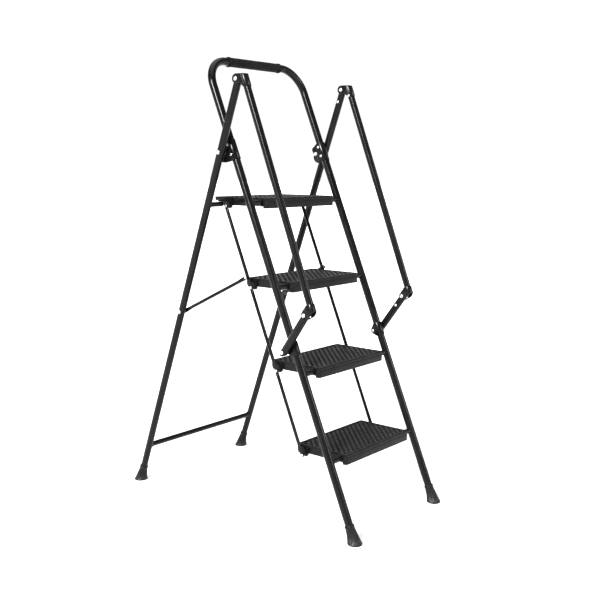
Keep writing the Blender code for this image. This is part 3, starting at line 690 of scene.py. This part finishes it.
def build_hinge(label, side):
    ear = RAIL_R + BRACKET_AIR + PLATE
    node = "hinge_bracket_" + label
    add_piece("hinge_plate_" + label, refine(node, "hinge_plate", PLATE_EDGE), PAINT, "front_frame",
              None, [node], PRESSED)
    spot = spot_at(FRONT_PLACE, HINGE_BACK, HINGE_UP)
    inner, outer = RAIL_X - ear, LEG_X + LEG_R
    pin = rivet_mesh("hinge_pin", inner, outer, HINGE_RIVET, side)
    add_piece("hinge_pin_" + label, pin, ZINC, "front_frame", spot, ["hinge_rivet_" + label], TURNED)
    cheek = RAIL_X + ear + GAP / 2
    add_piece("hinge_cheek_" + label, cheek_mesh(side, cheek), PAINT, "front_frame",
              spot_at(FRONT_PLACE, 0, HINGE_UP), (), GRIP_SHARP)
    bush = sleeve(cheek + PLATE + GAP, LEG_X - LEG_R - GAP, PIVOT_BORE, HINGE_BUSH_R)
    add_piece("hinge_bush_" + label, build_mesh("bush", turned_x(bush, side, loop=True)), NYLON,
              "front_frame", spot, (), TURNED)
    for number, along in enumerate(HINGE_FIXINGS, 1):
        fixing = rivet_mesh("fixing", RAIL_X - ear, RAIL_X + ear, BRACKET_RIVET, side)
        add_piece("hinge_fixing_%d_%s" % (number, label), fixing, ZINC, "front_frame",
                  spot_at(FRONT_PLACE, HINGE_FIXING_BACK, HINGE_UP + along), (), TURNED)


def cheek_mesh(side, x_from):
    """Plate beside the hinge bracket, between the rail and the leg, with a rolled rim."""
    rim = 0.0005
    outline = [Vector((0, y, z)) for y, z in (
        (-0.0060, -0.0365), (0.0280, -0.0300), (0.0500, -0.0200), (0.0570, -0.0070),
        (0.0550, 0.0040), (0.0360, 0.0270), (0.0100, 0.0330), (-0.0060, 0.0310))]
    outline = round_corners(outline, 0.005)
    centre = sum(outline, Vector()) / len(outline)
    rings = []
    for x, inset in ((0, rim), (rim, 0), (PLATE - rim, 0), (PLATE, rim)):
        ring = []
        for point in outline:
            inward = (centre - point).normalized()
            ring.append(point + inward * inset + X * side * (x_from + x))
        rings.append(ring)
    return build_mesh("hinge_cheek", skin(rings))


def round_corners(points, radius, segments=4):
    """Rounds each corner of a closed outline with a short curve."""
    result = []
    for i, point in enumerate(points):
        before, after = points[i - 1], points[(i + 1) % len(points)]
        reach = min(radius, (before - point).length * 0.45, (after - point).length * 0.45)
        start = point + (before - point).normalized() * reach
        end = point + (after - point).normalized() * reach
        for k in range(segments + 1):
            t = k / segments
            result.append(start * (1 - t) ** 2 + point * 2 * t * (1 - t) + end * t ** 2)
    return result


def build_link_bracket(label, side):
    ear = RAIL_R + BRACKET_AIR + PLATE
    node = "link_bracket_" + label
    add_piece("link_plate_" + label, refine(node, "link_plate", PLATE_EDGE), PAINT, "front_frame",
              None, [node], PRESSED)
    spot = spot_at(FRONT_PLACE, LINK_BACK, LINK_UP)
    outer = LINK_FOOT_X + LINK_R + 2 * GAP
    pin = rivet_mesh("link_pin", RAIL_X - ear, outer, LINK_RIVET, side)
    add_piece("link_pin_" + label, pin, ZINC, "front_frame", spot, ["link_rivet_" + label], TURNED)
    spacer = sleeve(RAIL_X + ear + GAP, LINK_FOOT_X - LINK_R - GAP, PIVOT_BORE, LINK_SPACER_R)
    add_piece("link_spacer_" + label, build_mesh("spacer", turned_x(spacer, side, loop=True)),
              NYLON, "front_frame", spot, (), TURNED)


def build_axle(number, axle):
    spot = place(axle, RAIL_LEAN)
    reach = RAIL_X - RAIL_R * 0.55
    tube = turned_x([(-reach, AXLE_R), (reach, AXLE_R), (reach, AXLE_R - AXLE_WALL),
                     (-reach, AXLE_R - AXLE_WALL)], 1, 40, loop=True)
    add_piece("cross_tube_%d" % number, build_mesh("cross_tube", tube), PAINT, "front_frame",
              spot, ["step_axle_%d" % number])
    for label, side in SIDES:
        bead = build_mesh("weld", weld_bead(RAIL_X, RAIL_R, AXLE_R, side))
        add_piece("weld_%d_%s" % (number, label), bead, PAINT, "front_frame", spot, (), WELDED)


# ---------------------------------------------------------------- rear frame
def build_rear():
    down = (HINGE - CROSSBAR).length
    reach = LEG_X - LEG_R * 0.5
    bar = turned_x([(-reach, CROSSBAR_R), (reach, CROSSBAR_R), (reach, CROSSBAR_R - THIN_WALL),
                    (-reach, CROSSBAR_R - THIN_WALL)], 1, 40, loop=True)
    add_piece("rear_bar", build_mesh("rear_bar", bar), PAINT, "rear_frame",
              spot_at(REAR_PLACE, 0, -down), ["rear_crossbar"])
    boot = foot_mesh("rear_boot", LEG_R, LEG_LEAN)
    leg = build_mesh("leg", round_topped_rod(LEG_R, FOOT_SOLE + GAP - LEG_LENGTH, APEX_UP))
    rest_down = (HINGE - REST).length
    for label, side in SIDES:
        spot = REAR_PLACE @ Matrix.Translation((side * LEG_X, 0, 0))
        add_piece("leg_" + label, leg, PAINT, "rear_frame", spot, ["rear_leg_" + label])
        add_piece("rear_boot_" + label, boot, RUBBER, "rear_frame",
                  Matrix.Translation(REAR_FOOT + X * side * LEG_X), ["rear_foot_" + label])
        weld = build_mesh("weld", weld_bead(LEG_X, LEG_R, CROSSBAR_R, side))
        add_piece("rear_weld_" + label, weld, PAINT, "rear_frame",
                  spot_at(REAR_PLACE, 0, -down), (), WELDED)
        build_rest(label, side, rest_down)
        build_leg_rivets(label, side)


def build_rest(label, side, down):
    """Short tube from the leg inwards, closed at its free end."""
    end = LEG_X - LEG_R * 0.5
    profile = [(REST_END_X + 0.0004, REST_R * 0.35), (REST_END_X + 0.0002, REST_R - 0.0012),
               (REST_END_X + 0.0009, REST_R - 0.0003), (REST_END_X + 0.0018, REST_R),
               (end, REST_R)]
    add_piece("rest_tube_" + label, build_mesh("rest_tube", turned_x(profile, side, 36)), PAINT,
              "rear_frame", spot_at(REAR_PLACE, 0, -down), ["platform_rest_" + label])
    bead = build_mesh("weld", weld_bead(LEG_X, LEG_R, REST_R, side))
    add_piece("rest_weld_" + label, bead, PAINT, "rear_frame",
              spot_at(REAR_PLACE, 0, -down), (), WELDED)


def build_leg_rivets(label, side):
    brace_down = (HINGE - BRACE_FOOT).length
    pin = rivet_mesh("brace_foot_pin", BRACE_LEG_X - ROD_FLAT, LEG_X + LEG_R, LINK_RIVET, side)
    add_piece("brace_foot_pin_" + label, pin, ZINC, "rear_frame",
              spot_at(REAR_PLACE, 0, -brace_down), ["brace_leg_rivet_" + label], TURNED)
    ear = LEG_R + EAR + PLATE
    pin = rivet_mesh("apex_pin", LEG_X - ear, LEG_X + ear, APEX_RIVET, side)
    add_piece("apex_pin_" + label, pin, ZINC, "rear_frame",
              spot_at(REAR_PLACE, 0, APEX_UP), ["apex_rivet_" + label], TURNED)
    fixing = blind_rivet("leg_fixing", LEG_X - LEG_R + BITE, side, -1)
    add_piece("leg_fixing_" + label, fixing, ZINC, "rear_frame",
              spot_at(REAR_PLACE, 0, APEX_UP - LEG_FIXING_DOWN), (), TURNED)


# ---------------------------------------------------------------- steps
def rounded_rectangle(half, front, back, inset, radius, height, segments=8):
    """Outline in plan; inset moves every side inwards."""
    keep = max(radius - inset, 0.0012)
    corners = ((half - inset - keep, back - inset - keep, 0),
               (-half + inset + keep, back - inset - keep, 90),
               (-half + inset + keep, front + inset + keep, 180),
               (half - inset - keep, front + inset + keep, 270))
    ring = []
    for x, y, start in corners:
        for i in range(segments + 1):
            a = radians(start + 90 * i / segments)
            ring.append(Vector((x + keep * cos(a), y + keep * sin(a), height)))
    return ring


def mat_slab(depth):
    """Tread plate: rolled rim, flat border and a sunk panel."""
    levels = ((0.0030, -0.0034), (0.0030, -0.0052), (0.0006, -0.0052), (0.0, -0.0046),
              (0.0, -0.0024), (0.0003, -0.0013), (0.0010, -0.0005), (0.0020, -0.0001),
              (0.0032, 0.0), (0.0062, 0.0), (0.0068, -0.0003), (0.0074, -0.0016))
    rings = [rounded_rectangle(MAT_HALF, 0.0, depth, d, MAT_CORNER, z) for d, z in levels]
    return skin(rings)


def nose_outline(segments=10):
    """Plan points and inward normals along the nose, from one return to the other."""
    corner = MAT_CORNER
    back = 0.0150
    points = [(Vector((-MAT_HALF, back, 0)), X)]
    for i in range(segments + 1):
        a = radians(180 + 90 * i / segments)
        way = Vector((cos(a), sin(a), 0))
        points.append((Vector((-MAT_HALF + corner, corner, 0)) + way * corner, -way))
    for i in range(segments + 1):
        a = radians(270 + 90 * i / segments)
        way = Vector((cos(a), sin(a), 0))
        points.append((Vector((MAT_HALF - corner, corner, 0)) + way * corner, -way))
    points.append((Vector((MAT_HALF, back, 0)), -X))
    return points


def mat_nose(drop):
    """Deep front apron with a step below the rim and a rolled lower edge."""
    section = ((0.0004, -0.0040), (0.0004, -0.0082), (0.0011, -0.0090), (0.0012, -0.0100),
               (0.0004, -0.0110), (0.0001, -0.0122), (0.0001, drop + 0.0024),
               (0.0004, drop + 0.0010), (0.0012, drop + 0.0002), (0.0020, drop + 0.0002),
               (0.0028, drop + 0.0010), (0.0030, drop + 0.0024), (0.0030, -0.0040))
    rings = [[point + inward * d + Z * z for d, z in section] for point, inward in nose_outline()]
    return skin(rings)


def tread_rib(start, length, phase):
    """One diagonal rib with shallow nicks across it at an even spacing."""
    along = Vector((1, 1, 0)).normalized()
    across = Vector((1, -1, 0)).normalized()
    pitch = RIB_PITCH
    base, crest, height, floor = 0.0046, 0.0032, 0.0017, -0.0018
    stations = [(0.0, 0.25), (0.0014, 1.0)]
    first = start.dot(along)
    nick = (first // pitch + 1 + phase) * pitch - first
    while nick < length - 0.005:
        if nick > 0.005:
            stations += [(nick - 0.0012, 1.0), (nick - 0.0005, 0.72), (nick + 0.0005, 0.72),
                         (nick + 0.0012, 1.0)]
        nick += pitch
    stations += [(length - 0.0014, 1.0), (length, 0.25)]
    rings = []
    for travel, lift in stations:
        centre = start + along * travel
        wide = base * (0.72 + 0.28 * lift)
        top = floor + height * lift
        flat = crest * (0.55 + 0.45 * lift)
        section = ((-wide, floor - 0.0003), (-wide * 0.94, floor + 0.0003), (-flat, top - 0.0001),
                   (-flat * 0.7, top), (flat * 0.7, top), (flat, top - 0.0001),
                   (wide * 0.94, floor + 0.0003), (wide, floor - 0.0003))
        rings.append([centre + across * d + Z * z for d, z in section])
    return skin(rings)


def mat_ribs(depth):
    """Diagonal ribs clipped to the sunk panel."""
    margin = 0.0108
    half = MAT_HALF - margin
    low, high = margin, depth - margin
    pitch = RIB_PITCH * sqrt(2)
    shells = []
    number = int((2 * half + high - low) / pitch) + 1
    for k in range(number):
        offset = -half - high + pitch * (k + 0.4)
        first = max(-half, low + offset)
        last = min(half, high + offset)
        if last - first < 0.008:
            continue
        start = Vector((first, first - offset, 0))
        shells.append(tread_rib(start, (last - first) * sqrt(2), 0.5 * (k % 2)))
    return shells


def build_steps():
    mats = {}
    for number in range(1, 5):
        body = "step_%d" % number
        low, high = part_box("step_mat_%d" % number)
        depth = round(high.y - low.y, 4)
        if depth not in mats:
            mats[depth] = build_mesh("tread_mat", mat_slab(depth), mat_nose(low.z - high.z),
                                     *mat_ribs(depth))
        mat = mats[depth]
        spot = Matrix.Translation((0, low.y, high.z))
        add_piece("tread_mat_%d" % number, mat, TREAD, body, spot, ["step_mat_%d" % number], MAT_SHARP)
        tray = refine("step_tray_%d" % number, "tray_%d" % number, TRAY_EDGE)
        add_piece("tray_%d" % number, tray, PAINT, body, None, ["step_tray_%d" % number], TRAY_SHARP)
        for label, side in SIDES:
            node = "rod_rivet_%d_%s" % (number, label)
            pin = rivet_mesh("rod_pin", ROD_RIVET_INNER, ROD_X + ROD_FLAT, ROD_RIVET, side)
            spot = place(AXLES[number - 1] + ROD_PIN, RAIL_LEAN)
            add_piece("rod_pin_%d_%s" % (number, label), pin, ZINC, body, spot, [node], TURNED)
            spacer = sleeve(LUG_OUT + GAP, ROD_X - ROD_FLAT - GAP, ROD_BORE, ROD_SPACER_R)
            add_piece("rod_spacer_%d_%s" % (number, label),
                      build_mesh("spacer", turned_x(spacer, side, 24, loop=True)), NYLON, body,
                      spot, (), TURNED)


# ---------------------------------------------------------------- rods and braces
def bar_ring(x, z, radius, press, count=24):
    """Section of a round bar pressed flat; 0 is round and 1 is fully flat."""
    thick = radius + (ROD_FLAT - radius) * press
    wide = radius + (EYE_R - radius) * press
    square = 1.0 + 1.2 * press
    ring = []
    for i in range(count):
        a = 2 * pi * i / count
        c, s = cos(a), sin(a)
        power = 2 / (2 * square)
        ring.append(Vector((x + thick * abs(c) ** power * (1 if c >= 0 else -1),
                            wide * abs(s) ** power * (1 if s >= 0 else -1), z)))
    return ring


def eye_rings(x, z, direction, count=24):
    """Rounded flat tip of a bar, from the tip inwards."""
    rings = []
    for i in range(7):
        a = radians(84 - 84 * i / 6)
        lift = EYE_R * sin(a)
        ring = bar_ring(x, z + direction * lift, ROD_R, 1.0, count)
        for point in ring:
            point.y *= max(cos(a), 0.1)
        rings.append(ring)
    return rings


def press_run(x, start, end, radius, rising, count=24):
    """Rings that go from flat to round, or back, between two heights."""
    rings = []
    for i in range(1, 8):
        share = i / 8
        ease = share * share * (3 - 2 * share)
        press = ease if rising else 1 - ease
        rings.append(bar_ring(x(share), start + (end - start) * share, radius, press, count))
    return rings


def link_rod_rings(side):
    x = side * ROD_X
    pitch = STEP_RISE / cos(RAIL_LEAN)
    pins = [pitch * (1 - index) for index in range(4)]
    rings = eye_rings(x, pins[0], 1)
    for number, pin in enumerate(pins):
        if number:
            flat = pin + 0.0411
            rings += press_run(lambda share: x, flat + 0.012, flat, ROD_R, True)
            rings.append(bar_ring(x, flat, ROD_R, 1.0))
        if number < 3:
            rings.append(bar_ring(x, pin - 0.007, ROD_R, 1.0))
            rings += press_run(lambda share: x, pin - 0.007, pin - 0.018, ROD_R, False)
            rings.append(bar_ring(x, pin - 0.018, ROD_R, 0.0))
    return rings + eye_rings(x, pins[-1], -1)[::-1]


def brace_rings(side, length):
    foot, head = side * BRACE_LEG_X, side * BRACE_HEAD_X
    start, end = 0.030, length - 0.034
    rings = eye_rings(foot, 0.0, -1)
    rings.append(bar_ring(foot, 0.012, BRACE_R, 1.0))
    slant = (head - foot) * 0.03
    rings += press_run(lambda share: foot + slant * share, 0.012, start, BRACE_R, False)
    for i in range(9):
        share = i / 8
        x = foot + (head - foot) * (0.03 + 0.94 * share)
        rings.append(bar_ring(x, start + (end - start) * share, BRACE_R, 0.0))
    rings += press_run(lambda share: head - slant * (1 - share), end, length - 0.012, BRACE_R, True)
    rings.append(bar_ring(head, length - 0.012, BRACE_R, 1.0))
    return rings + eye_rings(head, length, 1)[::-1]


def build_rods():
    rod_spot = place(PIVOT["link_rod_pivot"], RAIL_LEAN)
    brace_spot = place(BRACE_FOOT, BRACE_LEAN)
    length = (BRACE_HEAD - BRACE_FOOT).length
    for label, side in SIDES:
        rod = build_mesh("step_rod", skin(link_rod_rings(side)))
        add_piece("step_rod_" + label, rod, PAINT, "link_rods", rod_spot,
                  ["step_link_rod_" + label], BAR_SHARP)
        brace = build_mesh("brace_bar", skin(brace_rings(side, length)))
        add_piece("brace_bar_" + label, brace, PAINT, "braces", brace_spot,
                  ["brace_" + label], BAR_SHARP)
        pin = rivet_mesh("brace_head_pin", BRACE_HEAD_X - ROD_FLAT, BRACE_HEAD_X + ROD_FLAT,
                         BRACE_RIVET, side)
        add_piece("brace_head_pin_" + label, pin, ZINC, "braces",
                  brace_spot @ Matrix.Translation((0, 0, length)),
                  ["brace_end_rivet_" + label], TURNED)


# ---------------------------------------------------------------- handrails
def tube_plug(radius, centre, direction):
    """Domed plug in a tube's open end."""
    profile = ((-0.006, radius * 0.82), (0.0, radius * 0.82), (0.0002, radius - 0.0004),
               (0.0010, radius), (0.0016, radius * 0.97), (0.0023, radius * 0.86),
               (0.0028, radius * 0.62), (0.0030, radius * 0.30))
    rings = [circle(centre + Z * direction * z, X * r, Y * r, 36) for z, r in profile]
    return skin(rings)


def build_handrails():
    for label, side in SIDES:
        spot = HANDRAIL_PLACE @ Matrix.Translation((side * LEG_X, -HANDRAIL_OFFSET, 0))
        low, high = TUBE_FOOT - HANDRAIL_LENGTH, TUBE_TOP
        tube = pipe([Vector((0, 0, low)), Vector((0, 0, high))], HANDRAIL_R, THIN_WALL)
        add_piece("handrail_" + label, build_mesh("handrail", tube), PAINT, "handrails", spot,
                  ["handrail_tube_" + label])
        plug = tube_plug(HANDRAIL_R, Vector((0, 0, low)), -1)
        add_piece("handrail_plug_" + label, build_mesh("plug", plug), NYLON, "handrails",
                  spot, (), TURNED)
        for end in ("top", "elbow"):
            node = "handrail_%s_bracket_%s" % (end, label)
            add_piece("%s_clevis_%s" % (end, label), refine(node, "clevis", PLATE_EDGE), PAINT,
                      "handrails", None, [node], PRESSED)
        face = LEG_X - (LEG_R + EAR + PLATE)
        fixing = blind_rivet("clevis_fixing", face, side, -1)
        add_piece("clevis_fixing_" + label, fixing, ZINC, "handrails",
                  spot_at(HANDRAIL_PLACE, -HANDRAIL_OFFSET, -CLEVIS_FIXING_DOWN), (), TURNED)
        build_link(label, side)


def build_link(label, side):
    verts, faces = round_topped_rod(LINK_R, 0.0, LINK_LENGTH, round_low=True)
    splay = side * (LEG_X - LINK_FOOT_X) / LINK_LENGTH
    for point in verts:
        point.x += side * LINK_FOOT_X + splay * point.z
    add_piece("link_tube_" + label, build_mesh("link_tube", (verts, faces)), PAINT,
              "elbow_links", LINK_PLACE, ["link_bar_" + label])
    ear = LINK_R + ELBOW_EAR + PLATE
    spot = LINK_PLACE @ Matrix.Translation((0, 0, LINK_LENGTH))
    pin = rivet_mesh("elbow_pin", LEG_X - ear, LEG_X + ear, ELBOW_RIVET, side)
    add_piece("elbow_pin_" + label, pin, ZINC, "elbow_links", spot, ["elbow_rivet_" + label], TURNED)
    down = LINK_FIXING_DOWN
    face = LEG_X - (LEG_X - LINK_FOOT_X) * down / LINK_LENGTH - LINK_R + BITE
    fixing = blind_rivet("link_fixing", face, side, -1)
    add_piece("link_fixing_" + label, fixing, ZINC, "elbow_links",
              LINK_PLACE @ Matrix.Translation((0, 0, LINK_LENGTH - down)), (), TURNED)


# ---------------------------------------------------------------- stage, light, camera
FLOOR_HALF = 40.0
BACKDROP = 1.08                   # strength of the surroundings near the horizon
DIM_ROOM = 0.16                   # and of the ceiling
SOFTBOXES = (                     # name, place, power, apparent size in degrees
    ("key_light", (-3.3, -0.5, 2.0), 9.0, 18),
    ("side_light", (1.2, -3.6, 1.6), 1.2, 14),
    ("top_light", (0.3, 0.2, 4.2), 2.4, 70))
CAMERA_SPOT = (-2.2282, -1.9082, 1.0973)
CAMERA_YAW, CAMERA_PITCH, CAMERA_ROLL = 50.88, -9.90, 0.30
CAMERA_LENS = 53.88
CAMERA_SENSOR = 36.0
CAMERA_SHIFT = (-0.0142, 0.0337)


def build_stage():
    mesh = bpy.data.meshes.new("floor")
    far = FLOOR_HALF
    corners = [(-far, -far, 0), (far, -far, 0), (far, far, 0), (-far, far, 0)]
    mesh.from_pydata(corners, [], [(0, 1, 2, 3)])
    floor = bpy.data.objects.new("floor", mesh)
    bpy.context.scene.collection.objects.link(floor)
    mat, tree, shader = new_material("studio_floor")
    tone = mix(tree, span(tree, noise(tree, 2.0, 4), 0.3, 0.7, 0, 1),
               (0.93, 0.93, 0.93), (0.95, 0.95, 0.95))
    tree.links.new(tone, shader.inputs["Base Color"])
    shader.inputs["Roughness"].default_value = 0.9
    shader.inputs["Specular IOR Level"].default_value = 0.1
    mesh.materials.append(mat)


def soft_sun(name, spot, power, angle):
    """Distant round softbox shining from spot towards the ladder."""
    data = bpy.data.lights.new(name, "SUN")
    data.energy = power
    data.angle = radians(angle)
    lamp = bpy.data.objects.new(name, data)
    bpy.context.scene.collection.objects.link(lamp)
    aim = (-Vector(spot)).to_track_quat("-Z", "Y")
    lamp.matrix_world = Matrix.Translation(spot) @ aim.to_matrix().to_4x4()


def build_light():
    """White backdrop all round, dim ceiling, softboxes on the left, on the right and above."""
    world = bpy.data.worlds.new("studio")
    bpy.context.scene.world = world
    world.use_nodes = True
    tree = world.node_tree
    coords = add_node(tree, "ShaderNodeTexCoord")
    split = add_node(tree, "ShaderNodeSeparateXYZ")
    tree.links.new(coords.outputs["Generated"], split.inputs["Vector"])
    glow = span(tree, split.outputs["Z"], 0.24, 0.50, BACKDROP, DIM_ROOM)
    back = tree.nodes["Background"]
    back.inputs["Color"].default_value = (1, 1, 1, 1)
    tree.links.new(glow, back.inputs["Strength"])
    for softbox in SOFTBOXES:
        soft_sun(*softbox)
    bpy.context.scene.view_settings.view_transform = "Standard"
    bpy.context.scene.view_settings.look = "None"


def build_camera():
    """Eye level with the third step, to the front left."""
    yaw, pitch, roll = map(radians, (CAMERA_YAW, CAMERA_PITCH, CAMERA_ROLL))
    forward = Vector((sin(yaw) * cos(pitch), cos(yaw) * cos(pitch), sin(pitch)))
    right = Vector((cos(yaw), -sin(yaw), 0))
    up = right.cross(forward)
    across = right * cos(roll) + up * sin(roll)
    above = up * cos(roll) - right * sin(roll)
    data = bpy.data.cameras.new("camera")
    data.sensor_width = CAMERA_SENSOR
    data.lens = CAMERA_LENS
    data.shift_x, data.shift_y = CAMERA_SHIFT
    camera = bpy.data.objects.new("camera", data)
    bpy.context.scene.collection.objects.link(camera)
    turn = Matrix((across, above, -forward)).transposed().to_4x4()
    camera.matrix_world = Matrix.Translation(CAMERA_SPOT) @ turn
    bpy.context.scene.camera = camera


build_camera()
build_light()
build_stage()
build_front()
build_rear()
build_steps()
build_rods()
build_handrails()
